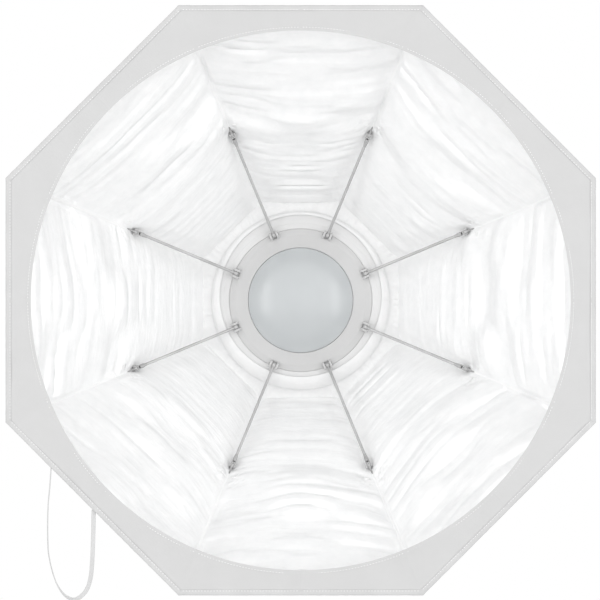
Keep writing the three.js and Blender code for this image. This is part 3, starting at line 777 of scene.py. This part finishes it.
def flap_grid(side):
    """(s, w) from the rib's seam to the crease beside the centre panel."""
    s = np.repeat(ALL_ROWS[:, None], FLAP_COLUMNS, axis=1)
    station = s[:, 0] / SLOPE * CHORD_LENGTH
    slit = TAB_SLIT * smooth((10.5 - np.abs(station - STRUT_STATION)) / 3)
    outer = rib_half_width(s[:, 0]) - slit
    inner = panel_half_width(s[:, 0])
    part = np.linspace(0, 1, FLAP_COLUMNS)
    w = outer[:, None] * (1 - part) + inner[:, None] * part
    return s, side * w


def panel_grid():
    rows = ALL_ROWS[ALL_ROWS < SLOPE - RIM_MARGIN]
    s = np.repeat(rows[:, None], PANEL_COLUMNS, axis=1)
    w = panel_half_width(s) * np.linspace(-1, 1, PANEL_COLUMNS)
    return s, w


BINDING = np.array([
    (320.4, 284.6), (320.5, 284.9), (321.4, 285.1), (324.2, 285.25), (325.8, 285.15),
    (326.6, 284.7), (326.9, 284.0), (326.3, 282.9), (323.1, 279.1), (322.3, 278.9),
    (321.9, 279.5), (324.6, 283.7), (324.0, 284.5),
])
BINDING_COLUMNS = 28


def binding_shell(side):
    """Tape folded over the edge where the canopy meets the lip, from corner to middle."""
    part = np.linspace(1, 0, BINDING_COLUMNS)
    ripple = 0.12 * noise(part * 40, part * 0 + side, 71)
    radius, depth = BINDING.T
    across = side * radius * math.tan(HALF) * part[:, None]
    wave = ripple[:, None]
    rows = np.stack([radius + wave, depth + wave, across], -1)
    columns = len(BINDING)
    faces = grid_faces(BINDING_COLUMNS, columns, wrap=True) + end_caps(BINDING_COLUMNS, columns)
    lengthwise = np.abs(rows[..., 2])
    around = np.broadcast_to(np.arange(columns) * 1.7, lengthwise.shape)
    return Shell(rows, faces, 2, np.stack([around, lengthwise], -1).reshape(-1, 2))


def tack_shell(side, gore):
    """A small raised bar of thread on the lining, just outside the strut's end."""
    s = SLOPE * (STRUT_STATION + TACK_BEYOND) / CHORD_LENGTH
    w = side * (rib_half_width(s) - TACK_FROM_RIB)
    centre = gore_surface(np.array(s), np.array(w), gore, FABRIC_HALF + TACK_HEIGHT * 0.4)
    path = [centre + np.array(ACROSS) * TACK_LENGTH * k
            for k in (-0.5, -0.42, -0.2, 0.2, 0.42, 0.5)]
    grow = np.array([0.4, 0.85, 1, 1, 0.85, 0.4])
    scale = np.stack([grow * TACK_WIDTH, grow * TACK_HEIGHT], -1)
    return sweep(path, GORE_ALONG, circle(1, 10), scale, 3)


def side_of(number, side):
    """What rib number's flap on a side is called, and the gore that it is part of."""
    return ("left", number) if side > 0 else ("right", (number - 2) % SIDES + 1)


def add_flap(number, side):
    word, gore = side_of(number, side)
    angle = spoke(number)
    s, w = flap_grid(-side)
    shells = [fabric_shell(s, w, gore), binding_shell(-side), tack_shell(-side, gore)]
    shells = [shell.moved(side * HALF) for shell in shells]
    thing = make(f"canopy_{word}_{number}", shells, [SILVER, CLOTH, TAPE, THREAD],
                 angle, SOFT_ANGLE)
    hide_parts(f"flap_{word}_{number}")
    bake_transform(thing)


def add_panel(number):
    s, w = panel_grid()
    thing = make(f"canopy_middle_{number}", [fabric_shell(s, w, number)],
                 [SILVER, CLOTH], STEP * number, SOFT_ANGLE)
    place(thing, f"gore_panel_{number}", "canopy_fabric", f"gore_panel_{number}")


# ---- the lip

LIP_COLUMNS = 40
LIP_PARTS = np.array([0, 0.06, 0.1, 0.14, 0.3, 0.5, 0.7, 0.9, 1.0])
LIP_FRONT = 284.55
LIP_THICKNESS = 0.8
LIP_ANGLE = 50.0
HEM_WIDTH = 5.0
HEM_STITCH_IN, HEM_STITCH_DEPTH = 3.4, 284.95
TAPE_STITCH_IN, TAPE_STITCH_DEPTH = 2.6, 285.15


def stitch_row(radii, angles, depth, pitch=3.4, length=2.3):
    """Stitches along a line on the lip, each a small lozenge of thread."""
    shells = []
    line = np.stack([radii * np.cos(angles), np.full(len(angles), depth),
                     radii * np.sin(angles)], -1)
    reach = reach_along(line)
    for gone in np.arange(pitch, reach[-1] - pitch / 2, pitch):
        centre = np.array([np.interp(gone, reach, line[:, k]) for k in range(3)])
        ahead = np.array([np.interp(gone + 0.5, reach, line[:, k]) for k in range(3)])
        way = unit(ahead - centre)
        side = np.cross(way, (0, 1, 0))
        tips = [centre - way * length / 2, centre + side * 0.35,
                centre + way * length / 2, centre - side * 0.35,
                centre + np.array([0, 0.35, 0]), centre - np.array([0, 0.2, 0])]
        faces = [(0, 1, 4), (1, 2, 4), (2, 3, 4), (3, 0, 4),
                 (1, 0, 5), (2, 1, 5), (3, 2, 5), (0, 3, 5)]
        shells.append(Shell(tips, faces, 2))
    return shells


def lip_shell(side, gore):
    """Half a side of the flat lip, hemmed at the round opening."""
    angle = np.linspace(HALF, 0, LIP_COLUMNS)
    outer = (APOTHEM - 0.6) / np.cos(angle)
    radius = OPENING_R + (outer - OPENING_R)[:, None] * LIP_PARTS
    hem = 1 - smooth((radius - OPENING_R - HEM_WIDTH) / 1.2)
    x = radius * np.cos(angle)[:, None]
    z = side * radius * np.sin(angle)[:, None]
    ends = smooth((HALF - angle) * 40) * smooth(angle * 40)
    free = smooth((APOTHEM - x) / 12) * ends[:, None]
    wave = 0.9 * free * noise(z / 38, x / 30, 30 + gore)
    front = np.stack([x, LIP_FRONT + wave + 0.35 * hem, z], -1)
    back = np.stack([x, LIP_FRONT - LIP_THICKNESS + wave - 0.2 * hem, z], -1)
    return sheet_shell(front, back, np.stack([x, z], -1), (0, 1, 0)), angle, outer


def add_lip(number, side):
    """side is that of the flap: its lip half reaches from the rib to the side's middle."""
    word, gore = side_of(number, side)
    shell, angle, outer = lip_shell(-side, gore)
    signed = -side * angle
    hem_line = np.full(len(angle), OPENING_R + HEM_STITCH_IN)
    tape_line = outer - TAPE_STITCH_IN / np.cos(angle)
    shells = [shell]
    shells += stitch_row(hem_line, signed, HEM_STITCH_DEPTH)
    shells += stitch_row(tape_line, signed, TAPE_STITCH_DEPTH)
    shells = [one.moved(side * HALF) for one in shells]
    thing = make(f"lip_{word}_{number}", shells, [LIP_CLOTH, SILVER, THREAD],
                 spoke(number), LIP_ANGLE)
    place(thing, f"flap_{word}_{number}", "canopy_fabric")
    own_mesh(thing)


# ---- seams on the ribs

SLEEVE_GAPS = ((30.0, 126.0), (158.0, CHORD_LENGTH - 5.0))
SEAM_GAPS = ((16, STRUT_STATION - 10), (STRUT_STATION + 10, CHORD_LENGTH - 4))
POCKET_START = CHORD_LENGTH - 42


def rib_line(start, end, offset, steps):
    """Points (radius, depth, 0) that follow the rib's bow."""
    return [(*rib_point(t, bow_at(t) + offset), 0) for t in np.linspace(start, end, steps)]


def sleeve_shell(start, end):
    """The cloth sleeve on the outside of the canopy that holds the rib."""
    steps = 34
    stations = np.linspace(start, end, steps)
    width = 3.0 + 1.3 * smooth((stations - POCKET_START) / 10)
    closing = smooth((stations - start + 0.6) / 3) * smooth((end - stations + 0.5) / 4)
    puckers = 1 + 0.05 * noise(stations / 7, stations * 0, 91)
    scale = np.stack([width * puckers, width * 1.05 * np.ones(steps)], -1)
    scale[:, 0] *= 0.35 + 0.65 * closing
    scale[:, 1] *= 0.45 + 0.55 * closing
    return sweep(rib_line(start, end, RIB_STANDOFF - 0.4, steps), ACROSS, circle(1, 18), scale)


def seam_shell(start, end):
    """A narrow raised seam on the lining, along the rib."""
    steps = max(6, int((end - start) / 6))
    section = np.array([(1.6, -0.4), (1.3, 0.35), (0.6, 0.6), (-0.6, 0.6), (-1.3, 0.35),
                        (-1.6, -0.4), (0, -0.7)])
    path = rib_line(start, end, -0.5, steps)
    stations = np.linspace(start, end, steps)
    plump = 1 + 0.12 * noise(stations / 4, stations * 0, 93)
    return sweep(path, ACROSS, section, both(plump), 1)


def add_seam(number):
    shells = [sleeve_shell(start, end) for start, end in SLEEVE_GAPS]
    shells += [seam_shell(start, end) for start, end in SEAM_GAPS]
    thing = make(f"rib_sleeve_{number}", shells, [CLOTH, THREAD], spoke(number))
    place(thing, f"rib_{number}", "canopy_fabric")


# ---- ribs, struts


def add_rib(number):
    end = CHORD_LENGTH - 11
    stations = np.linspace(0, end, 48)
    lift = RIB_STANDOFF * np.minimum(1, stations / 22)
    path = [(*rib_point(t, bow_at(t) + up), 0) for t, up in zip(stations, lift)]
    foot = rib_point(STRUT_STATION, bow_at(STRUT_STATION) + RIB_STANDOFF)
    cap_from = rib_point(end - 15, bow_at(end - 15) + RIB_STANDOFF)
    cap_to = rib_point(end + 1, bow_at(end + 1) + RIB_STANDOFF)
    shells = [
        sweep(path, ACROSS, circle(RIB_R, 12)),
        ring_disc(HINGE, 4.2, 2.9),
        prism(drop(STRUT_OUTER, 3.2, foot, 6), -1.1, 1.1, 0.25),
        capsule((*cap_from, 0), (*cap_to, 0), 3.0, slot=1),
    ]
    thing = make(f"rib_rod_{number}", shells, [WIRE, HUB_PLASTIC], spoke(number))
    place(thing, f"rib_{number}", "spring_steel", f"rib_{number}")


def add_strut(number):
    way = unit(STRUT_OUTER - STRUT_INNER)

    def on_strut(back):
        return (*(STRUT_OUTER - way * back), 0)

    rod = sweep([(*STRUT_INNER, 0), on_strut(60), on_strut(14)], ACROSS, circle(STRUT_R, 14))
    back = [16, 14.5, 12.5, 10.5, 8.5, 6.6, 6.0]
    widths = [1.72, 1.9, 2.2, 2.5, 2.6, 2.55, 2.3]
    heights = [1.72, 1.85, 2.1, 2.3, 2.5, 2.5, 2.3]
    neck = sweep([on_strut(b) for b in back], ACROSS, circle(1, 18),
                 np.stack([widths, heights], -1), slot=1)
    prong_root = STRUT_OUTER - way * 8
    outline = drop(STRUT_OUTER, 3.0, prong_root, 2.4)
    prongs = [prism(outline, low, high, 0.3, slot=1) for low, high in ((1.4, 2.6), (-2.6, -1.4))]
    shells = [rod, neck, *prongs, ring_disc(STRUT_INNER, 3.2, 2.2)]
    thing = make(f"strut_rod_{number}", shells, [WIRE, FORK], spoke(number))
    place(thing, f"strut_{number}", "spring_steel", f"strut_{number}")


def add_rivet(number):
    across = [-3.5, -3.4, -2.75, -2.74, 2.74, 2.75, 3.4, 3.5]
    radius = [1.0, 1.8, 2.0, 1.2, 1.2, 2.0, 1.8, 1.0]
    path = [(*STRUT_OUTER, t) for t in across]
    shell = sweep(path, RADIAL, circle(1, 18), both(radius))
    thing = make(f"strut_pin_{number}", [shell], [SCREW], spoke(number))
    place(thing, f"rib_{number}", "spring_steel", f"strut_rivet_{number}")


# ---- the hub

HUB_BORE_R, SEAT_STEP_R, MOUTH_R, WALL_R, FLANGE_R = 61, 78.3, 87, 97.6, 116
SEAT_STEP_DEPTH, FLANGE_DEPTH, HUB_FLOOR_DEPTH, RIM_DEPTH, WALL_DEPTH = 4.3, 8, 10, 13, 38
FLANGE_CHAMFER = 2
RIM_THICKNESS = 2.4
BEZEL_INNER_R, BEZEL_OUTER_R, BEZEL_REAR, BEZEL_FRONT = 84.6, 104, 38.3, 44
COLLAR_BORE_R, COLLAR_R, COLLAR_RIM_R, COLLAR_REAR = 62.95, 84.0, 85.5, 12
INSERT_BORE_R, SPIGOT_R, INSERT_R = 46, 49, 78
SPIGOT_REAR, INSERT_FRONT = -13, 4
LUG_ROOT_R, LUG_R, LUG_REAR, LUG_FRONT = 48, 54, -12, -8.5
LUG_ANGLE = 0.7
SCREW_PLACE_R = 70
THIRDS = [math.pi / 2 + k * 2 * math.pi / 3 for k in range(3)]


def rounded_outline(outline, radius=0.7):
    """A closed outline whose corners are cut by two short chamfers."""
    outline = np.asarray(outline, float)
    result = []
    for k, corner in enumerate(outline):
        before = outline[k - 1] - corner
        after = outline[(k + 1) % len(outline)] - corner
        room = min(np.linalg.norm(before), np.linalg.norm(after)) * 0.45
        reach = min(radius, room)
        start = corner + unit(before) * reach
        end = corner + unit(after) * reach
        result += [start, (start + end + 2 * corner) / 4, end]
    return np.array(result)


def add_hub_shell():
    rim_r = FLANGE_R - RIM_THICKNESS
    outline = rounded_outline([
        (HUB_BORE_R, SEAT_STEP_DEPTH), (SEAT_STEP_R, SEAT_STEP_DEPTH), (SEAT_STEP_R, 0),
        (FLANGE_R - FLANGE_CHAMFER, 0), (FLANGE_R, FLANGE_CHAMFER), (FLANGE_R, RIM_DEPTH),
        (rim_r, RIM_DEPTH), (rim_r, FLANGE_DEPTH), (WALL_R, FLANGE_DEPTH),
        (WALL_R, WALL_DEPTH), (MOUTH_R, WALL_DEPTH), (MOUTH_R, HUB_FLOOR_DEPTH),
        (HUB_BORE_R, HUB_FLOOR_DEPTH),
    ])
    shell = make("hub_shell", [lathe(outline)], [HUB_PLASTIC])
    button_pocket = pocket_shell((98.5, 125), (-1, 6.7), 9.5)
    rib_notch = pocket_shell((112, 119), (9.5, 14), 3.2)
    cut(shell, [(button_pocket, (0.0, math.pi)), (rib_notch, SPOKES)])
    place(shell, "hub", "hub_plastic", "hub_housing")


def add_cheeks():
    """The pair of plates on the hub that hold each rib's eye."""
    outline = drop(HINGE, 4.6, (HINGE_R, 7.0), 6)
    cheeks = [prism(outline, low, high, 0.5).moved(angle)
              for angle in SPOKES for low, high in ((3.2, 8.0), (-8.0, -3.2))]
    place(make("hub_cheeks", cheeks, [HUB_PLASTIC]), "hub", "hub_plastic")


def add_bezel():
    outline = rounded_outline([
        (BEZEL_INNER_R, BEZEL_REAR), (BEZEL_OUTER_R, BEZEL_REAR),
        (BEZEL_OUTER_R, BEZEL_FRONT - 0.8), (BEZEL_OUTER_R - 1, BEZEL_FRONT),
        (92.5, BEZEL_FRONT), (91.9, 43.7), (86.0, 43.7), (85.7, 43.4), (85.6, 43.1),
        (BEZEL_INNER_R, 43.1),
    ], 0.15)
    thing = make("front_ring", [lathe(outline, 160)], [HUB_PLASTIC])
    place(thing, "hub", "hub_plastic", "front_bezel")


HEM_LIFT = 5.3
HEM_SEGMENTS = 200


def add_lining_hem():
    """The lining's gathered hem lies round the hub's mouth, a little off its centre."""
    outline = [(96.6, 45.2), (97.1, 45.8), (98.6, 46.1), (101.5, 46.0), (104.5, 45.3),
               (106.6, 44.2), (107.0, 43.6), (106.2, 43.2), (103.5, 44.3), (99.5, 44.6),
               (97.2, 44.6)]
    share = [1, 1, 0.95, 0.6, 0.2, 0, 0, 0, 0.25, 0.8, 1]
    shell = lathe(outline, HEM_SEGMENTS, HEM_LIFT * np.array(share))
    around = full_turn(HEM_SEGMENTS)
    pucker = 0.22 * noise(around * 26, around * 0, 61) + 0.12 * noise(around * 60, around * 0, 62)
    shell.points[:, 1] += np.repeat(pucker, len(outline))
    shell.uv = np.stack([np.repeat(around * HINGE_R, len(outline)),
                         np.tile(np.arange(len(outline)) * 1.5, HEM_SEGMENTS)], -1)
    return place(make("lining_hem", [shell], [SILVER_SHADED_COPY]), "hub", "canopy_fabric")


SKIRT_INNER_R = 104.3
SKIRT_DEPTH = 42.3
SKIRT_ROWS = 9
SKIRT_COLUMNS = 30
SKIRT_THICKNESS = 0.5


def skirt_shell(side, gore):
    """The gathered lining from under the hem out to the slope, for half a gore."""
    share = np.linspace(0, 1, SKIRT_COLUMNS)
    angle = side * HALF * share
    slope_r = HUB_APOTHEM + (SKIRT_DEPTH - HINGE_DEPTH) * GORE_ALONG[0] / GORE_ALONG[1]
    outer = (slope_r + 1.5 + 3.0 * share ** 2) / np.cos(angle)
    out = np.linspace(0, 1, SKIRT_ROWS)[:, None]
    radius = SKIRT_INNER_R + (outer - SKIRT_INNER_R) * out
    gathers = (noise(share * 13, out * 1.2, 60 + gore)
               + 0.5 * noise(share * 29, out * 2, 80 + gore)) * 0.45 * smooth(out * 3)
    depth = SKIRT_DEPTH + 0.9 * (1 - out) ** 2 - 1.2 * np.sin(out * math.pi) + gathers
    front = np.stack([radius * np.cos(angle), depth, radius * np.sin(angle)], -1)
    rear = front - np.array([0, SKIRT_THICKNESS, 0])
    return sheet_shell(front, rear, np.stack([radius * angle, radius], -1))


def add_skirt(gore, side):
    word = "after" if side > 0 else "before"
    thing = make(f"lining_skirt_{word}_{gore}", [skirt_shell(side, gore)], [SILVER_SHADED_COPY],
                 STEP * gore, SOFT_ANGLE)
    place(thing, "hub", "canopy_fabric")
    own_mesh(thing)


def add_wire():
    section = circle(1.2, 12) + HINGE
    thing = make("hinge_wire_ring", [lathe(section)], [WIRE])
    place(thing, "hub", "spring_steel", "rib_hinge_wire")


def add_collar():
    outline = rounded_outline([
        (COLLAR_BORE_R, COLLAR_REAR), (COLLAR_R, COLLAR_REAR), (COLLAR_R, 43.3),
        (COLLAR_RIM_R, 43.3), (COLLAR_RIM_R, 43.9), (84.6, 44.4), (78, 45.0),
        (63.6, 42.2), (COLLAR_BORE_R, 41.9),
    ], 0.3)
    ring = make("collar_ring", [lathe(outline, 160)], [COLLAR_PLASTIC])
    cut(ring, [(pocket_shell((79.4, 88), (43.6, 47), 2.7), SPOKES)])
    place(ring, "collar", "collar_plastic", "sliding_collar")


def ear_shells(angle):
    """A pair of ears on the collar, with the pin between them and its two heads."""
    outline = drop(STRUT_INNER, 4.2, (81.0, 43.0), 3.4)
    shells = [prism(outline, 2.7, 5.3, 0.35), prism(outline, -5.3, -2.7, 0.35),
              ring_disc(STRUT_INNER, 1.25, 5.9, slot=1, sides=16, edge=0.2)]
    for side in (-1, 1):
        head = ring_disc(STRUT_INNER, 2.1, 0.45, slot=1, sides=18, edge=0.2)
        head.points[:, 2] += side * 5.75
        shells.append(head)
    return [shell.moved(angle) for shell in shells]


def add_ears():
    ears = [shell for angle in SPOKES for shell in ear_shells(angle)]
    place(make("collar_ears", ears, [COLLAR_PLASTIC, FORK]), "collar", "collar_plastic")


def add_dome():
    radius, flange, base, apex, wall = 62.55, 62.65, 41.6, 58.5, 2.5
    rise = apex - base
    sphere = (radius ** 2 + rise ** 2) / (2 * rise)
    centre = apex - sphere
    widest = math.asin(radius / sphere)
    inner = [((sphere - wall) * math.sin(a), centre + (sphere - wall) * math.cos(a))
             for a in np.linspace(0, widest, 14)]
    outer = [(sphere * math.sin(a), centre + sphere * math.cos(a))
             for a in np.linspace(widest, 0, 26)]
    seat = [(radius - wall, 29), (flange - 0.4, 29), (flange, 29.4), (flange, base - 1.5),
            (flange - 0.1, base - 0.5)]
    thing = make("dome_cover", [cap_lathe(inner + seat + outer)], [DOME])
    place(thing, "dome", "dome_frosted", "protective_dome")


def add_insert():
    """The metal ring with the three lugs that go into the lamp."""
    outline = rounded_outline([
        (INSERT_BORE_R, INSERT_FRONT), (INSERT_BORE_R, SPIGOT_REAR), (SPIGOT_R, SPIGOT_REAR),
        (SPIGOT_R, 0), (INSERT_R, 0), (INSERT_R, INSERT_FRONT),
    ], 0.8)
    arc = np.linspace(-LUG_ANGLE / 2, LUG_ANGLE / 2, 12)
    ring = [(LUG_R * math.cos(a), LUG_R * math.sin(a)) for a in arc]
    ring += [(LUG_ROOT_R * math.cos(a), LUG_ROOT_R * math.sin(a)) for a in arc[::-1]]
    shells = [lathe(outline)]
    lug = prism(ring, LUG_REAR, LUG_FRONT, 0.4, "depth")
    shells += [lug.copied().moved(angle) for angle in THIRDS]
    place(make("insert_ring", shells, [CASTING]), "hub", "insert_metal", "mount_insert")


def add_screws():
    """Three screws with domed heads, and the cross that each driver fits, drawn as a black slab
    of painted shade in place of a hollow recess.
    """
    path = [(SCREW_PLACE_R, depth, 0) for depth in (1.6, 0.5, 0.15, -0.05)]
    head = sweep(path, RADIAL, circle(1, 28), both([4.0, 4.0, 3.6, 2.6]))
    shells = []
    for angle in THIRDS:
        shells.append(head.copied().moved(angle))
        for half_r, half_w in ((2.1, 0.45), (0.45, 2.1)):
            radii = (SCREW_PLACE_R - half_r, SCREW_PLACE_R + half_r)
            slot = prism(rectangle(radii, (-half_w, half_w)), -0.12, 0.4, 0.05, "depth", 1)
            shells.append(slot.moved(angle))
    thing = make("insert_screw_heads", shells, [SCREW, SCREW_RECESS_SHADE])
    place(thing, "hub", "screw_steel", *[f"insert_screw_{k}" for k in (1, 2, 3)])


def add_button(word, angle):
    half, inner_r, outer_r, tooth = 9.0, 103, 123, 1.0
    outline = [(inner_r, -half), (outer_r, -half)]
    for centre in (-6, -2, 2, 6):
        outline += [(outer_r, centre - 0.9), (outer_r - tooth, centre - 0.6),
                    (outer_r - tooth, centre + 0.6), (outer_r, centre + 0.9)]
    outline += [(outer_r, half), (inner_r, half)]
    shell = prism(outline, 0.8, 6.2, 0.3, "depth")
    thing = make(f"button_{word}", [shell], [BUTTON_PLASTIC], angle)
    place(thing, f"button_{word}", "button_plastic", f"release_button_{word}")


# ---- assembly

for index in range(1, SIDES + 1):
    add_flap(index, 1)
    add_flap(index, -1)
    add_lip(index, 1)
    add_lip(index, -1)
    add_panel(index)
    add_seam(index)
    add_rib(index)
    add_strut(index)
    add_rivet(index)
add_hub_shell()
add_cheeks()
add_bezel()
lining_hem = add_lining_hem()
for index in range(1, SIDES + 1):
    add_skirt(index, 1)
    add_skirt(index, -1)
add_wire()
add_collar()
add_ears()
add_dome()
add_insert()
add_screws()
add_button("right", 0.0)
add_button("left", math.pi)

# ---- floor and lights

FLOOR_HEIGHT = -0.95
FLOOR_WIDTH, FLOOR_LENGTH = (-6.0, 6.0), (-6.0, 4.8)
AIM = Vector((0, -0.1, 0))
SIDE_LIGHTS = (
    ("strip", (1.95, -2.05, 0.1), (0.7, 1.9), 6),
    ("edge", (2.35, -1.65, 0.0), (0.34, 1.6), 5.5),
)


def add_floor():
    points = [(x, y, FLOOR_HEIGHT) for x, y in rectangle(FLOOR_WIDTH, FLOOR_LENGTH)]
    mesh = bpy.data.meshes.new("floor")
    mesh.from_pydata(points, [], [(0, 1, 2, 3)])
    made = Material("floor_paper", shade(0.93), 0.8)
    made.vary("Base Color", made.noise(1.2, 3.0), shade(0.925), shade(0.94))
    made.vary("Roughness", made.noise(3.0, 2.0), 0.75, 0.85)
    mesh.materials.append(made.data)
    floor = bpy.data.objects.new("floor", mesh)
    bpy.context.scene.collection.objects.link(floor)


def add_light(name, spot, size, power):
    """A softbox at a spot, in metres, aimed at the model, with its power in watts."""
    data = bpy.data.lights.new(name, "AREA")
    data.shape = "RECTANGLE"
    data.size, data.size_y = size
    data.energy = power
    light = bpy.data.objects.new(name, data)
    light.location = spot
    light.rotation_euler = (AIM - Vector(spot)).to_track_quat("-Z", "Y").to_euler()
    bpy.context.scene.collection.objects.link(light)


def add_world(seen, ambient):
    """White to the camera, and softer as a light."""
    world = bpy.data.worlds.new("studio")
    bpy.context.scene.world = world
    world.use_nodes = True
    nodes, links = world.node_tree.nodes, world.node_tree.links
    background = nodes["Background"]
    path = nodes.new("ShaderNodeLightPath")
    strength = nodes.new("ShaderNodeMapRange")
    strength.inputs["To Min"].default_value = ambient
    strength.inputs["To Max"].default_value = seen
    links.new(path.outputs["Is Camera Ray"], strength.inputs["Value"])
    background.inputs["Color"].default_value = (1, 1, 1, 1)
    links.new(strength.outputs["Result"], background.inputs["Strength"])


add_floor()
add_world(seen=1.0, ambient=0.865)
add_light("front", (0, -3.9, 0.3), (7.0, 6.0), 68)
for light_name, (light_x, light_y, light_z), light_size, watts in SIDE_LIGHTS:
    for light_side, sign in (("left", -1), ("right", 1)):
        spot = (sign * light_x, light_y, light_z)
        add_light(f"{light_name}_{light_side}", spot, light_size, watts)
bpy.context.scene.view_settings.view_transform = "Standard"
